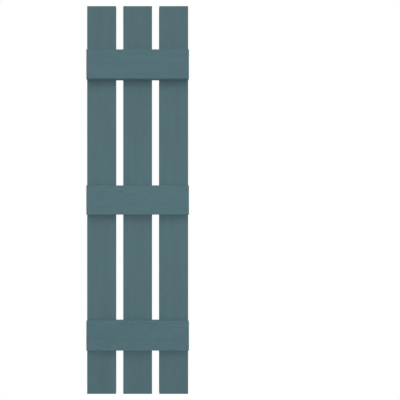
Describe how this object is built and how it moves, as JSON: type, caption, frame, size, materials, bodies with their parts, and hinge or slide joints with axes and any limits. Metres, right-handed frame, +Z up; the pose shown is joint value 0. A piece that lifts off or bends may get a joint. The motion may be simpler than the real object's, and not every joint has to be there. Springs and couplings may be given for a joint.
{
  "type": "board and batten shutter",
  "caption": "Spaced board and batten window shutter: upright boards with open gaps, joined by flat battens across the front and screwed from the back; fixes flat to a wall.",
  "frame": {"origin": "centre of the middle board's back, on the plane that lies against the wall", "axes": "+X to the right seen from the front, +Z up along the boards, +Y into the wall, so the battens face -Y"},
  "size_m": [0.3112, 0.0381, 1.1938],
  "materials": {
    "painted_wood": "satin teal-blue paint over fine wood grain",
    "screw_steel": "dull exterior coating"
  },
  "bodies": {
    "root": {"left_board": "painted_wood", "middle_board": "painted_wood", "right_board": "painted_wood", "top_batten": "painted_wood", "middle_batten": "painted_wood", "bottom_batten": "painted_wood", "top_batten_left_board_upper_screw": "screw_steel", "top_batten_left_board_lower_screw": "screw_steel", "top_batten_middle_board_upper_screw": "screw_steel", "top_batten_middle_board_lower_screw": "screw_steel", "top_batten_right_board_upper_screw": "screw_steel", "top_batten_right_board_lower_screw": "screw_steel", "middle_batten_left_board_upper_screw": "screw_steel", "middle_batten_left_board_lower_screw": "screw_steel", "middle_batten_middle_board_upper_screw": "screw_steel", "middle_batten_middle_board_lower_screw": "screw_steel", "middle_batten_right_board_upper_screw": "screw_steel", "middle_batten_right_board_lower_screw": "screw_steel", "bottom_batten_left_board_upper_screw": "screw_steel", "bottom_batten_left_board_lower_screw": "screw_steel", "bottom_batten_middle_board_upper_screw": "screw_steel", "bottom_batten_middle_board_lower_screw": "screw_steel", "bottom_batten_right_board_upper_screw": "screw_steel", "bottom_batten_right_board_lower_screw": "screw_steel"}
  },
  "joints": []
}
